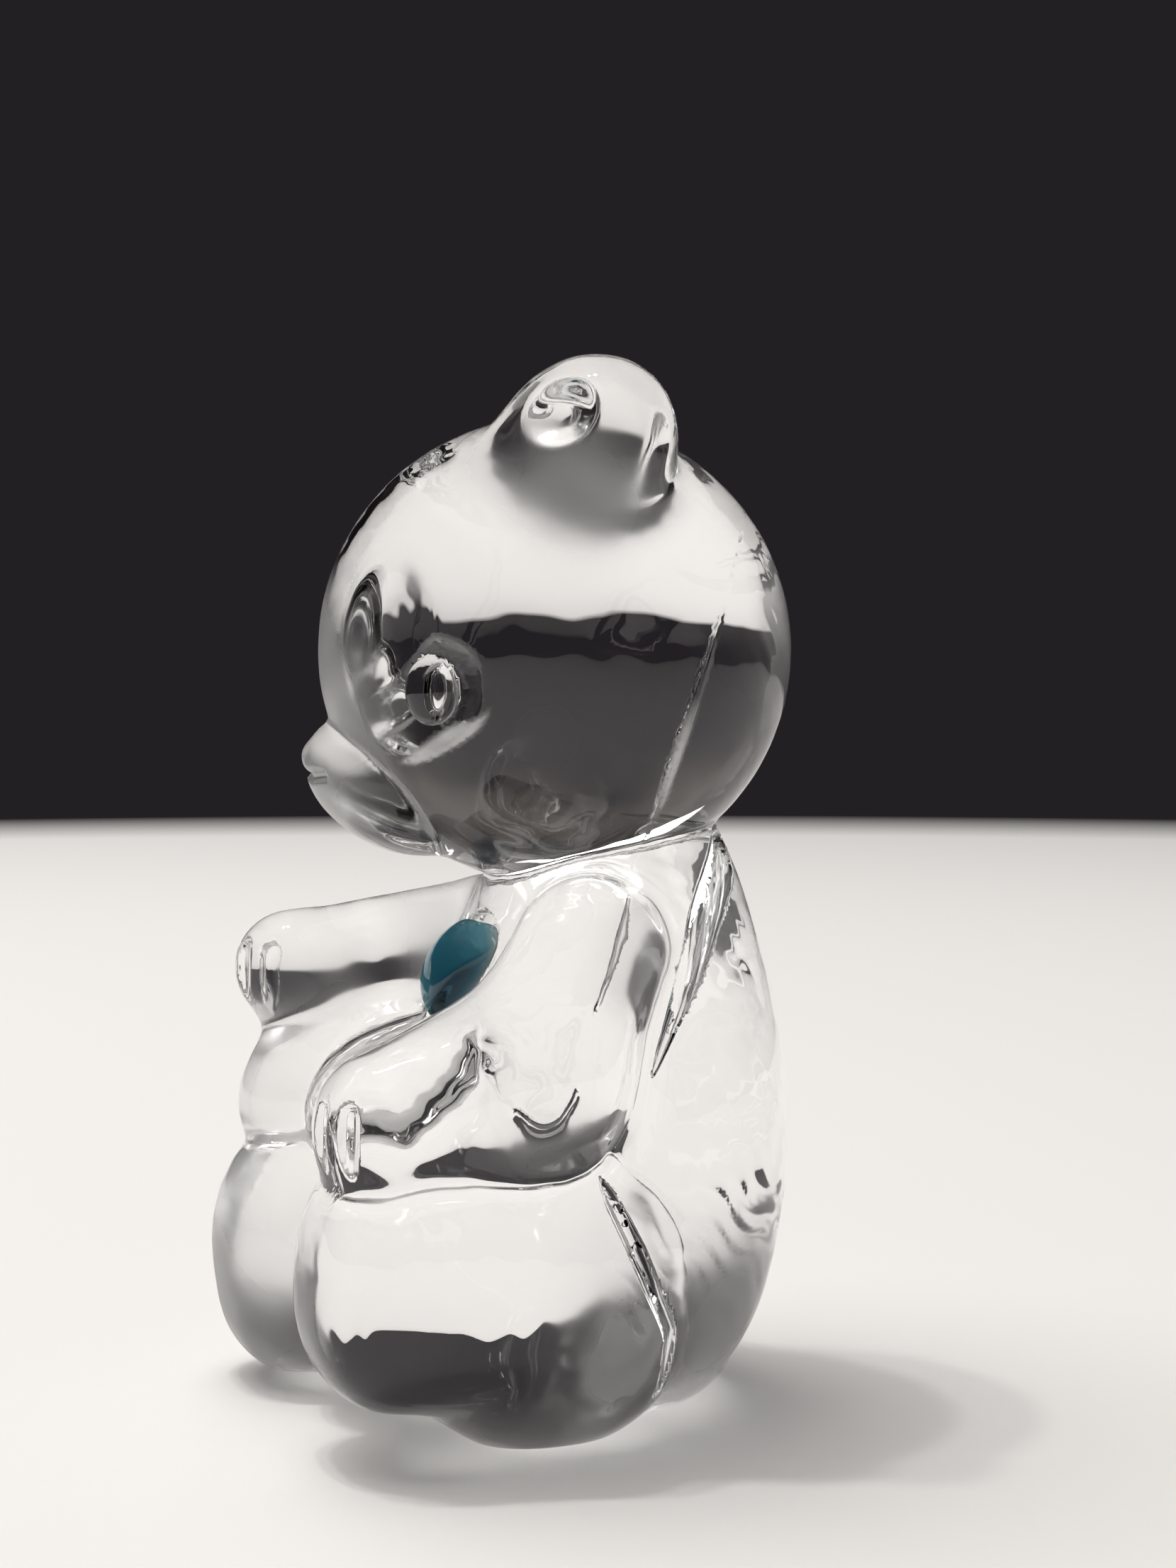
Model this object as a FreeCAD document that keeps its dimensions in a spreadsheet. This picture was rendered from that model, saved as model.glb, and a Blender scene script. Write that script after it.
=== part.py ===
import FreeCAD, Part
import math
import os
import Sketcher

# A small seated bear pressed in one piece of clear crystal glass, with a flat-backed glass heart bonded
# to its chest. Millimetres. The bear faces -Y, its left side is +X and it sits on the table at Z = 0. The
# origin is the middle of the ground base, on the body's middle plane. The head is turned towards the
# bear's right.

# The pressing is built up from egg-shaped lumps. One row is a lump's width, depth and height, then its
# centre: how far out from the middle plane, how far back (+Y) and how far up.
TRUNK_LUMPS = {
    "rump": (36.6, 29.4, 54.0, 0.0, 7.0, 24.0),
    "chest": (28.0, 24.4, 40.0, 0.0, 6.5, 37.0),
    "belly": (30.0, 25.0, 34.0, 0.0, -1.5, 18.0),
    "hips": (37.0, 27.0, 27.0, 0.0, 4.5, 12.5),
    "base": (26.0, 30.0, 8.4, 0.0, 2.0, 3.0),
    "lap": (31.0, 24.0, 17.0, 0.0, -8.5, 24.5),
    "web": (22.0, 27.0, 19.0, 0.0, -8.0, 11.0),
}
# The rows of paired lumps are for the bear's left; the right-hand ones are their mirror images.
LIMB_LUMPS = {
    "haunch": (18.6, 25.6, 25.0, 11.8, -4.4, 11.4),
    "left_foot": (16.0, 15.6, 18.6, 13.5, -16.8, 13.8),
    "right_foot": (15.6, 17.0, 20.0, 13.5, -16.9, 10.6),
    "left_thigh": (18.4, 31.0, 20.0, 12.7, -9.2, 14.2),
    "right_thigh": (18.4, 31.0, 20.0, 12.7, -9.2, 13.0),
    "right_knee": (12.8, 14.4, 14.0, 12.5, -16.8, 25.2),
    "under_arm": (13.0, 24.0, 18.0, 11.0, -8.5, 26.5),
    "right_hand": (10.6, 11.0, 9.6, 15.2, -18.0, 37.0),
}
# These are measured from the middle of the skull, with the face along -Y before the head is turned.
HEAD_LUMPS = {
    "skull": (38.0, 41.4, 40.8, 0.0, 0.0, 0.0),
    "muzzle": (20.0, 17.4, 11.8, 0.0, -13.6, -11.6),
    "nose": (5.6, 4.4, 3.8, 0.0, -20.0, -9.2),
    "eye": (3.4, 4.8, 5.8, 14.4, -10.4, -3.5),
    "brow_hollow": (20.0, 20.0, 37.0, 19.6, -19.8, 1.2),
    "ear": (11.6, 16.0, 15.4, 11.4, 2.4, 17.0),
    "ear_dish": (10.0, 10.0, 9.0, 18.9, -1.8, 20.2),
}
# An arm's joints: distance out, back and up, then the limb's radius there.
LIMB_POINTS = {
    "left_shoulder": (14.0, -1.5, 40.8, 5.8),
    "left_elbow": (17.0, -7.4, 30.8, 7.4),
    "left_paw": (16.5, -19.2, 27.6, 6.1),
    "right_shoulder": (-13.2, -1.5, 39.4, 5.2),
    "right_paw": (-15.0, -18.4, 37.2, 4.6),
}
OTHER_SIZES = {
    "head_back": 1.3,
    "head_up": 65.5,
    "head_turn": -20.0,
    "muzzle_tilt": -24.0,
    "left_thigh_tilt": -6.0,
    "right_thigh_tilt": -14.0,
    "eye_turn": -30.0,
    "ear_turn": -35.0,
    "ear_lean": 12.0,
    "toe_wide": 4.6,
    "toe_deep": 4.2,
    "toe_tall": 6.0,
    "toe_pitch": 4.0,
    "toe_reach": 5.2,
    "toe_rise": 2.0,
    "toe_drop": 1.4,
    "groove_wide": 1.5,
    "groove_long": 8.0,
    "groove_turn": 26.0,
    "heart_wide": 9.5,
    "heart_tall": 9.4,
    "heart_lobe": 2.55,
    "heart_thick": 3.5,
    "heart_girdle": 1.4,
    "heart_back": -7.0,
    "heart_up": 37.4,
    "heart_tilt": 25.0,
    "bond_thick": 0.15,
    "seat_radius": 5.8,
    "seat_depth": 4.0,
    "boss_wide": 18.0,
    "boss_thick": 6.8,
    "boss_sunk": 2.5,
    "clear_wide": 120.0,
    "clear_tall": 20.0,
}

doc = FreeCAD.newDocument("CrystalBear")
sheet = doc.addObject("Spreadsheet::Sheet", "Sizes")


def fill_sheet():
    """Put every driving dimension in a named cell."""
    cells = dict(OTHER_SIZES)
    for rows in (TRUNK_LUMPS, LIMB_LUMPS, HEAD_LUMPS):
        for lump, values in rows.items():
            for part, value in zip(("wide", "deep", "tall", "out", "back", "up"), values):
                cells[f"{lump}_{part}"] = value
    for point, values in LIMB_POINTS.items():
        for part, value in zip(("out", "back", "up", "radius"), values):
            cells[f"{point}_{part}"] = value
    for row, (alias, value) in enumerate(cells.items(), start=1):
        sheet.set(f"A{row}", alias)
        sheet.set(f"B{row}", str(value))
        sheet.setAlias(f"B{row}", alias)
    doc.recompute()


def egg(name, sizes, centre, side=1, turn="0", tilt="0", lean="0"):
    """An ellipsoid whose sizes and centre are expressions over the sheet.

    It is tilted about its width, leant so that its outer face looks up, then turned about Z. A right-hand
    one (side -1) is the mirror image, seam and all.
    """
    shape = doc.addObject("Part::Ellipsoid", name)
    wide, deep, tall = sizes
    shape.setExpression("Radius2", f"({wide}) / 2")
    shape.setExpression("Radius3", f"({deep}) / 2")
    shape.setExpression("Radius1", f"({tall}) / 2")
    yaw, roll = (turn, tilt) if side > 0 else (f"180 - ({turn})", f"-({tilt})")
    place = f"placement(vector({'; '.join(centre)}); rotation({yaw}; -({lean}); {roll}))"
    shape.setExpression("Placement", place)
    return shape


def lump(row, name=None, side=1, turn="0", tilt="0", lean="0"):
    """The ellipsoid of one row of a table; side is +1 for the bear's left and -1 for its right."""
    sizes = [f"Sizes.{row}_{part}" for part in ("wide", "deep", "tall")]
    centre = [f"{side} * Sizes.{row}_out", f"Sizes.{row}_back", f"Sizes.{row}_up"]
    return egg(name or row, sizes, centre, side, turn, tilt, lean)


def fuse(name, shapes):
    """Several shapes made one in a single step."""
    result = doc.addObject("Part::MultiFuse", name)
    result.Shapes = shapes
    result.Refine = False
    return result


def combine(kind, name, base, tool):
    """A boolean of two shapes: kind is Fuse, Cut or Common. The curved faces are kept apart, not merged."""
    result = doc.addObject(f"Part::{kind}", name)
    result.Base = base
    result.Tool = tool
    result.Refine = False
    return result


def origin_plane(body, role):
    return next(feature for feature in body.Origin.OriginFeatures if feature.Role == role)


def limb(name, start, end):
    """A round limb that tapers evenly from one joint's ball to the next, as a revolved outline."""
    body = doc.addObject("PartDesign::Body", name)
    sketch = body.newObject("Sketcher::SketchObject", f"{name}_outline")
    sketch.AttachmentSupport = (origin_plane(body, "XZ_Plane"), "")
    sketch.MapMode = "FlatFace"

    first, last = (FreeCAD.Vector(*(sheet.get(f"{point}_{part}") for part in ("out", "back", "up")))
                   for point in (start, end))
    small, big = sheet.get(f"{start}_radius"), sheet.get(f"{end}_radius")
    reach = (last - first).Length
    lean = math.asin((small - big) / reach)
    up = FreeCAD.Vector(0, 0, 1)
    flat = FreeCAD.Vector(1, 0, 0)
    side = FreeCAD.Vector(math.cos(lean), math.sin(lean), 0)
    middle = FreeCAD.Vector(0, 0, 0)
    tip = FreeCAD.Vector(0, reach, 0)

    lower = sketch.addGeometry(Part.ArcOfCircle(Part.Circle(middle, up, small), -math.pi / 2, lean))
    upper = sketch.addGeometry(Part.ArcOfCircle(Part.Circle(tip, up, big), lean, math.pi / 2))
    flank = sketch.addGeometry(Part.LineSegment(middle + side * small, tip + side * big))
    axis = sketch.addGeometry(Part.LineSegment(tip + FreeCAD.Vector(0, big, 0), FreeCAD.Vector(0, -small, 0)))
    start_point, end_point, centre_point = 1, 2, 3
    root, y_axis = -1, -2
    add = sketch.addConstraint
    add(Sketcher.Constraint("Coincident", lower, centre_point, root, start_point))
    add(Sketcher.Constraint("PointOnObject", upper, centre_point, y_axis))
    add(Sketcher.Constraint("Tangent", lower, end_point, flank, start_point))
    add(Sketcher.Constraint("Tangent", flank, end_point, upper, start_point))
    add(Sketcher.Constraint("Coincident", upper, end_point, axis, start_point))
    add(Sketcher.Constraint("Coincident", axis, end_point, lower, start_point))
    add(Sketcher.Constraint("PointOnObject", upper, end_point, y_axis))
    add(Sketcher.Constraint("PointOnObject", lower, start_point, y_axis))
    lower_radius = add(Sketcher.Constraint("Radius", lower, small))
    upper_radius = add(Sketcher.Constraint("Radius", upper, big))
    length = add(Sketcher.Constraint("DistanceY", lower, centre_point, upper, centre_point, reach))
    spans = [f"pow(Sizes.{end}_{part} - Sizes.{start}_{part}; 2)" for part in ("out", "back", "up")]
    sketch.setExpression(f"Constraints[{lower_radius}]", f"Sizes.{start}_radius")
    sketch.setExpression(f"Constraints[{upper_radius}]", f"Sizes.{end}_radius")
    sketch.setExpression(f"Constraints[{length}]", f"sqrt({' + '.join(spans)})")

    turned = body.newObject("PartDesign::Revolution", f"{name}_turned")
    turned.Profile = sketch
    turned.ReferenceAxis = (sketch, ["V_Axis"])
    turned.Angle = 360
    body.Tip = turned
    body.Placement = FreeCAD.Placement(first, FreeCAD.Rotation(up, last - first))
    return body


def finger_grooves(side_name):
    """Two upright grooves that part the fingers across the front of a paw."""
    grooves = []
    for number, share in enumerate((0.4, 1.6), start=1):
        turn = f"({share} * Sizes.groove_turn)"
        reach = f"Sizes.{side_name}_paw_radius"
        outward = 1 if side_name == "left" else -1
        centre = (f"Sizes.{side_name}_paw_out + {outward} * {reach} * sin({turn} * 1deg)",
                  f"Sizes.{side_name}_paw_back - {reach} * cos({turn} * 1deg)",
                  f"Sizes.{side_name}_paw_up - {reach} / 3")
        sizes = ("Sizes.groove_wide", "Sizes.groove_wide", "Sizes.groove_long")
        grooves.append(egg(f"{side_name}_groove_{number}", sizes, centre))
    return grooves


def leg(side_name, side):
    """Haunch, thigh and foot of one leg, with three low toes across its front. The right knee is up."""
    pieces = [lump("haunch", f"{side_name}_haunch", side)]
    pieces.append(lump(f"{side_name}_thigh", side=side, tilt=f"Sizes.{side_name}_thigh_tilt"))
    if side_name == "right":
        pieces.append(lump("right_knee", side=side))
    foot = f"{side_name}_foot"
    pieces.append(lump(foot, side=side))
    for place in (-1, 0, 1):
        centre = (f"{side} * (Sizes.{foot}_out + {place} * Sizes.toe_pitch)",
                  f"Sizes.{foot}_back - Sizes.toe_reach",
                  f"Sizes.{foot}_up + Sizes.toe_rise - {place} * Sizes.toe_drop")
        sizes = ("Sizes.toe_wide", "Sizes.toe_deep", "Sizes.toe_tall")
        pieces.append(egg(f"{side_name}_toe_{place + 2}", sizes, centre, side))
    return fuse(f"{side_name}_leg", pieces)


def arms():
    """The left arm rests along the leg. The right arm is held straight out in front, with a fuller paw."""
    left = fuse("left_arm", [limb("left_upper_arm", "left_shoulder", "left_elbow"),
                             limb("left_forearm", "left_elbow", "left_paw")])
    right = fuse("right_arm", [limb("right_limb", "right_shoulder", "right_paw"),
                               lump("right_hand", side=-1)])
    return [combine("Cut", "left_arm_fingers", left, fuse("left_grooves", finger_grooves("left"))),
            combine("Cut", "right_arm_fingers", right, fuse("right_grooves", finger_grooves("right")))]


def head():
    """Skull with hollows round the eyes, a muzzle, a nose and two dished ears, turned as one."""
    hollows = []
    for side_name, side in (("left", 1), ("right", -1)):
        hollows.append(lump("brow_hollow", f"{side_name}_brow_hollow", side))
    pieces = [combine("Cut", "hollowed_skull", lump("skull"), fuse("hollows", hollows))]
    pieces.append(lump("muzzle", tilt="Sizes.muzzle_tilt"))
    pieces.append(lump("nose"))
    for side_name, side in (("left", 1), ("right", -1)):
        pieces.append(lump("eye", f"{side_name}_eye", side, "Sizes.eye_turn"))
        whole = lump("ear", f"{side_name}_ear", side, "Sizes.ear_turn", lean="Sizes.ear_lean")
        dish = lump("ear_dish", f"{side_name}_ear_dish", side)
        pieces.append(combine("Cut", f"{side_name}_dished_ear", whole, dish))
    result = fuse("head", pieces)
    result.setExpression("Placement", "placement(vector(0; Sizes.head_back; Sizes.head_up); "
                                      "rotation(Sizes.head_turn; 0; 0))")
    return result


def seat_placement(lift="0"):
    """An expression for the frame of the heart's seat: +Z points out of the chest and up by heart_tilt."""
    tilt = "Sizes.heart_tilt * 1deg"
    return (f"placement(vector(0; Sizes.heart_back - ({lift}) * cos({tilt}); "
            f"Sizes.heart_up + ({lift}) * sin({tilt})); rotation(0; 0; 90 - Sizes.heart_tilt))")


def chest_boss():
    """A low swelling behind the heart, so that its flat seat is backed by glass all over."""
    shape = doc.addObject("Part::Ellipsoid", "chest_boss")
    shape.setExpression("Radius2", "Sizes.boss_wide / 2")
    shape.setExpression("Radius3", "Sizes.boss_wide / 2")
    shape.setExpression("Radius1", "Sizes.boss_thick / 2")
    shape.setExpression("Placement", seat_placement("-Sizes.boss_sunk"))
    return shape


def bear_body():
    """The whole pressing, ground flat underneath and with a flat seat for the heart."""
    pressing = fuse("trunk", [lump(row) for row in TRUNK_LUMPS] + [chest_boss()])
    fillers = [lump("under_arm", "left_under_arm", 1), lump("under_arm", "right_under_arm", -1)]
    for member in [leg("left", 1), leg("right", -1)] + fillers + arms() + [head()]:
        pressing = combine("Fuse", f"trunk_and_{member.Name}", pressing, member)

    below = doc.addObject("Part::Box", "below_table")
    for side, size in (("Length", "wide"), ("Width", "wide"), ("Height", "tall")):
        below.setExpression(side, f"Sizes.clear_{size}")
    below.setExpression("Placement", "placement(vector(-Sizes.clear_wide / 2; -Sizes.clear_wide / 2; "
                                     "-Sizes.clear_tall); rotation(0; 0; 0))")
    ground = combine("Cut", "ground_bear", pressing, below)

    seat = doc.addObject("Part::Cylinder", "heart_seat")
    seat.setExpression("Radius", "Sizes.seat_radius")
    seat.setExpression("Height", "Sizes.seat_depth")
    seat.setExpression("Placement", seat_placement())
    return combine("Cut", "bear_body", ground, seat)


def heart_outline(body):
    """A heart of two round lobes and two flanks that run straight to the point. Its middle is the origin."""
    sketch = body.newObject("Sketcher::SketchObject", f"{body.Name}_outline")
    sketch.AttachmentSupport = (origin_plane(body, "XY_Plane"), "")
    sketch.MapMode = "FlatFace"
    lobe = sheet.get("heart_lobe")
    out = sheet.get("heart_wide") / 2 - lobe
    rise = sheet.get("heart_tall") / 2 - lobe
    tip = FreeCAD.Vector(0, -sheet.get("heart_tall") / 2, 0)
    drop = math.hypot(out, rise - tip.y)
    start_angle = math.acos(-out / lobe)
    end_angle = math.atan2(tip.y - rise, -out) + math.acos(lobe / drop)
    up = FreeCAD.Vector(0, 0, 1)
    right_circle = Part.Circle(FreeCAD.Vector(out, rise, 0), up, lobe)
    left_circle = Part.Circle(FreeCAD.Vector(-out, rise, 0), up, lobe)
    right = sketch.addGeometry(Part.ArcOfCircle(right_circle, end_angle, start_angle))
    left = sketch.addGeometry(Part.ArcOfCircle(left_circle, math.pi - start_angle, math.pi - end_angle))
    right_end = right_circle.value(end_angle)
    left_end = left_circle.value(math.pi - end_angle)
    right_flank = sketch.addGeometry(Part.LineSegment(tip, right_end))
    left_flank = sketch.addGeometry(Part.LineSegment(left_end, tip))
    start_point, end_point, centre_point = 1, 2, 3
    root, y_axis = -1, -2
    add = sketch.addConstraint
    add(Sketcher.Constraint("Tangent", right_flank, end_point, right, start_point))
    add(Sketcher.Constraint("Tangent", left, end_point, left_flank, start_point))
    add(Sketcher.Constraint("Coincident", right, end_point, left, start_point))
    add(Sketcher.Constraint("Coincident", right_flank, start_point, left_flank, end_point))
    add(Sketcher.Constraint("PointOnObject", right_flank, start_point, y_axis))
    add(Sketcher.Constraint("Symmetric", left, centre_point, right, centre_point, y_axis))
    add(Sketcher.Constraint("Equal", left, right))
    lobe_radius = add(Sketcher.Constraint("Radius", right, lobe))
    centre_out = add(Sketcher.Constraint("DistanceX", root, start_point, right, centre_point, out))
    centre_up = add(Sketcher.Constraint("DistanceY", root, start_point, right, centre_point, rise))
    tip_down = add(Sketcher.Constraint("DistanceY", right_flank, start_point, root, start_point, -tip.y))
    sketch.setExpression(f"Constraints[{lobe_radius}]", "Sizes.heart_lobe")
    sketch.setExpression(f"Constraints[{centre_out}]", "Sizes.heart_wide / 2 - Sizes.heart_lobe")
    sketch.setExpression(f"Constraints[{centre_up}]", "Sizes.heart_tall / 2 - Sizes.heart_lobe")
    sketch.setExpression(f"Constraints[{tip_down}]", "Sizes.heart_tall / 2")
    return sketch


def heart_slab(name, thickness):
    """A flat slab with the heart's outline, standing on its own XY plane."""
    body = doc.addObject("PartDesign::Body", name)
    sketch = heart_outline(body)
    pad = body.newObject("PartDesign::Pad", f"{name}_pad")
    pad.Profile = sketch
    pad.setExpression("Length", thickness)
    body.Tip = pad
    return body


def heart_cabochon():
    """The glass heart: flat behind, a straight edge all round, and one low dome in front."""
    slab = heart_slab("heart_slab", "Sizes.heart_thick")
    dome = doc.addObject("Part::Sphere", "heart_dome")
    rise = "(Sizes.heart_thick - Sizes.heart_girdle)"
    radius = f"(pow(Sizes.heart_wide / 2; 2) + pow({rise}; 2)) / (2 * {rise})"
    dome.setExpression("Radius", radius)
    dome.setExpression("Placement.Base.z", f"Sizes.heart_thick - ({radius})")
    stone = combine("Common", "heart_cabochon", slab, dome)
    stone.setExpression("Placement", seat_placement("Sizes.bond_thick"))
    return stone


def heart_adhesive():
    """The clear film that holds the heart's flat back to the flat seat."""
    film = heart_slab("heart_adhesive", "Sizes.bond_thick")
    film.setExpression("Placement", seat_placement())
    return film


def check_and_write(nodes):
    """Stop if anything failed to build or a union lost a lump, then write one file for each node."""
    for feature in doc.Objects:
        if "Invalid" in feature.State or "Error" in feature.State:
            raise RuntimeError(f"{feature.Name} did not build: {feature.State}")
        if feature.TypeId in ("Part::MultiFuse", "Part::Fuse"):
            whole = feature.Shape.copy()
            whole.Placement = FreeCAD.Placement()
            pieces = feature.Shapes if feature.TypeId == "Part::MultiFuse" else (feature.Base, feature.Tool)
            for piece in pieces:
                if not whole.isInside(piece.Shape.CenterOfGravity, 0.01, True):
                    raise RuntimeError(f"{feature.Name} lost {piece.Name}")
    for node in nodes:
        if node.Shape.isNull() or not node.Shape.isValid():
            raise RuntimeError(f"{node.Label} has no valid shape")
        print(node.Label, "solids", len(node.Shape.Solids), "volume", round(node.Shape.Volume, 2),
              node.Shape.BoundBox)
    os.makedirs("parts", exist_ok=True)
    for node in nodes:
        node.Shape.exportStep(f"parts/{node.Label}.step")


fill_sheet()
sub_parts = [bear_body(), heart_adhesive(), heart_cabochon()]
doc.recompute()
check_and_write(sub_parts)
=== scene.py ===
import math

import bpy
import numpy as np
import openvdb
from mathutils import Matrix, Vector


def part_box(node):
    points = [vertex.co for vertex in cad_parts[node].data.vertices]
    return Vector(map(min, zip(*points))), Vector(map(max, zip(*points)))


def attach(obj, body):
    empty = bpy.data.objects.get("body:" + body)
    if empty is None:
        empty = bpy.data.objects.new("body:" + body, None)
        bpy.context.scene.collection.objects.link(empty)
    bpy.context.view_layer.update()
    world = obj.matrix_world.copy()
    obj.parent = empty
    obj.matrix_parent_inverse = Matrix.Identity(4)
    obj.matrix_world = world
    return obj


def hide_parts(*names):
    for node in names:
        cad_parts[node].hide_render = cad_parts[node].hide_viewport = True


# A seated bear pressed in clear crystal glass with a blue-green glass heart bonded to its chest.
# The bear is sculpted as a distance field: a function that says, for any point, how far it is from the
# surface. Its lumps are measured in millimetres in the frame's axes: the bear faces -Y, its left is +X.

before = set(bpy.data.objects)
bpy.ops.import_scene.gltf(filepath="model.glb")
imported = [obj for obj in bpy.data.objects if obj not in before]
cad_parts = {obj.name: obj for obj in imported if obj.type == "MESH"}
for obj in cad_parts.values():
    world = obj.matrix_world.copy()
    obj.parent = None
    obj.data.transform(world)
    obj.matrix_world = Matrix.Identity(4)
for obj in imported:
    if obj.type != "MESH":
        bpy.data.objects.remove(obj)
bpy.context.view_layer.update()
BODY_LOW, BODY_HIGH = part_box("bear_body")
FILM_LOW, FILM_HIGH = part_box("heart_adhesive")
STONE_LOW, STONE_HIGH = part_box("heart_cabochon")

# The sculpted bear is this tall before it is fitted to the frame.
SCULPT_TALL = 90.1
MM = (BODY_HIGH.z - BODY_LOW.z) / SCULPT_TALL
# Sides: 1 is the bear's left and -1 is its right.
BOTH = (1, -1)
RIGHT = (-1,)

# One row is a lump's width, depth and height, then its centre: out from the middle plane, back (+Y) and up.
TRUNK = {
    "rump": (36.6, 29.4, 54.0, 0.0, 7.0, 24.0),
    "chest": (28.0, 24.4, 40.0, 0.0, 6.5, 37.0),
    "belly": (30.0, 25.0, 34.0, 0.0, -1.5, 18.0),
    "hips": (37.0, 27.0, 27.0, 0.0, 4.5, 12.5),
    "lap": (31.0, 24.0, 17.0, 0.0, -8.5, 24.5),
    "web": (22.0, 27.0, 19.0, 0.0, -8.0, 11.0),
    "base": (26.0, 30.0, 8.4, 0.0, 2.0, 3.0),
}
LEFT_LEG = {
    "haunch": (18.6, 25.6, 25.0, 11.8, -4.4, 11.4),
    "thigh": (17.4, 31.0, 20.0, 12.7, -9.2, 14.2),
    "foot": (16.0, 15.6, 18.6, 13.5, -16.8, 13.8),
}
RIGHT_LEG = {
    "haunch": (18.6, 25.6, 25.0, -11.8, -4.4, 11.4),
    "thigh": (17.4, 31.0, 20.0, -12.7, -9.2, 13.0),
    "foot": (15.6, 17.0, 20.0, -13.5, -16.9, 10.6),
    "knee": (12.8, 14.4, 14.0, -12.5, -16.8, 25.2),
}
# How full the parts of a leg are at their corners. 2 is an ellipsoid.
FULLNESS = {"haunch": 2.2, "thigh": 3.0, "foot": 2.8, "knee": 2.0}
THIGH_TILT = {1: math.radians(-6), -1: math.radians(-14)}
# A toe's size, the gap from toe to toe, and where the middle one is from the foot's centre.
TOE = (4.6, 4.2, 6.0)
TOE_GAP = 4.0
TOE_FORWARD = 5.2
TOE_UP = 2.0
# Each toe is this much lower than the one on its inner side.
TOE_DROP = 1.4

# The head's lumps are measured from the middle of the skull, before the head is turned.
HEAD = {
    "skull": (38.0, 41.4, 40.8, 0.0, 0.0, 0.0),
    "muzzle": (20.0, 17.4, 11.8, 0.0, -13.6, -11.6),
    "nose": (5.6, 4.4, 3.8, 0.0, -20.0, -9.2),
    "eye": (3.4, 4.8, 5.8, 14.4, -10.4, -3.5),
    "brow_hollow": (20.0, 20.0, 37.0, 19.6, -19.8, 1.2),
    "socket": (7.2, 16.4, 11.0, 16.2, -12.2, -4.9),
    "ear": (11.6, 16.0, 15.4, 11.4, 2.4, 17.0),
    "ear_dish": (10.0, 10.0, 9.0, 18.9, -1.8, 20.2),
}
HEAD_AT = (0.0, 1.3, 65.5)
HEAD_TURN = math.radians(-20)
MUZZLE_TILT = math.radians(-24)
EYE_TURN = math.radians(-30)
EAR_TURN = math.radians(-35)
EAR_ROLL = math.radians(20)
# The mouth's lines on the muzzle, as directions from the muzzle's centre in its own axes.
LIP = ((0, -1, 0.05), (0, -0.92, -0.4))
SMILE = ((0, -0.92, -0.4), (0.35, -0.85, -0.45), (0.65, -0.7, -0.3))
MOUTH_RADIUS = 0.4

# The socket round each eye ends below in a flat shelf that rises from beside the muzzle to behind the eye:
# the two ends of its outer edge, measured as the head's lumps are, and how far up it faces.
SHELF_ENDS = ((10.3, -14.2, -10.1), (17.9, -4.6, -4.7))
SHELF_FACES = math.radians(43)
SOCKET_TURN = math.radians(-38)
SOCKET_TILT = math.radians(23)
# A raised mould line slants down each side of the back of the head, in one plane: how far back and up the
# plane passes, its slope, the line's radius, and the heights between which it runs.
MOULD_LINE = {"back": 10.9, "up": -5.0, "slope": 0.32, "radius": 0.45, "low": -14.5, "high": 3.5}

# Arm joints: out, back, up and the limb's radius there.
LEFT_ARM = ((14.0, -1.5, 40.8, 5.8), (17.0, -7.4, 30.8, 6.8), (16.5, -19.2, 27.6, 6.1))
RIGHT_ARM = ((-13.2, -1.5, 39.4, 5.2), (-15.0, -18.4, 37.2, 4.6))
RIGHT_PAW = (10.6, 11.0, 9.6, -15.2, -18.0, 37.0)
# The mass of glass that ties each arm to the belly and the leg below it.
UNDER_ARM = (13.0, 24.0, 18.0, 11.0, -8.5, 26.5)
# The grooves between the fingers: their angles in degrees round the paw from its front, positive outwards,
# then their ends' heights from the paw's middle and their radius.
LEFT_FINGERS = (8, 40)
RIGHT_FINGERS = (-50, -10, 30)
FINGER_ENDS = (1.5, -5.5)
FINGER_RADIUS = 0.9

# A groove's middle line from the nape to the flank, and its radius at each of those points. The one on the
# right side is smaller.
SIDE_GROOVE = ((6.5, 14.5, 49.0), (15.4, 6.9, 38.3), (16.9, 1.7, 27.0))
SIDE_GROOVE_RADII = (1.9, 1.5, 0.3)
RIGHT_GROOVE_SIZE = 0.7
# The line where the back of the left leg meets the trunk.
LEG_LINE = ((18.2, -3.4, 25.0), (20.0, 0.4, 16.5), (19.6, 3.6, 9.5), (17.2, 3.6, 2.0))
LEG_LINE_RADII = (0.7, 0.9, 0.8, 0.5)

# The heart's seat: its middle, from the adhesive's box, and its tilt up from the front.
SEAT_TILT = math.radians(25)
SEAT = (FILM_LOW + FILM_HIGH) / 2 / MM
SEAT_OUT = Vector((0.0, -math.cos(SEAT_TILT), math.sin(SEAT_TILT)))
SEAT_UP = Vector((0.0, math.sin(SEAT_TILT), math.cos(SEAT_TILT)))
SEAT_RADIUS = 5.8
# The swelling of the chest that the seat is cut across: its size, and how deep its centre is.
BOSS = (18.0, 18.0, 6.8)
BOSS_SUNK = 2.5
BOND_THICK = 0.15
# The bond ends this far inside the heart's edge. The glass is marked as bonded to this far outside it.
BOND_INSET = 0.2
BOND_SPREAD = 0.1
AIR_GAP = 0.01

HEART_WIDE = (STONE_HIGH.x - STONE_LOW.x) / MM
HEART_TALL = 9.4
HEART_THICK = 3.5
HEART_GIRDLE = 1.4
# The radii of the heart's outline: its two lobes and its two long flanks.
HEART_LOBE = 2.55
HEART_FLANK = 12.0

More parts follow.
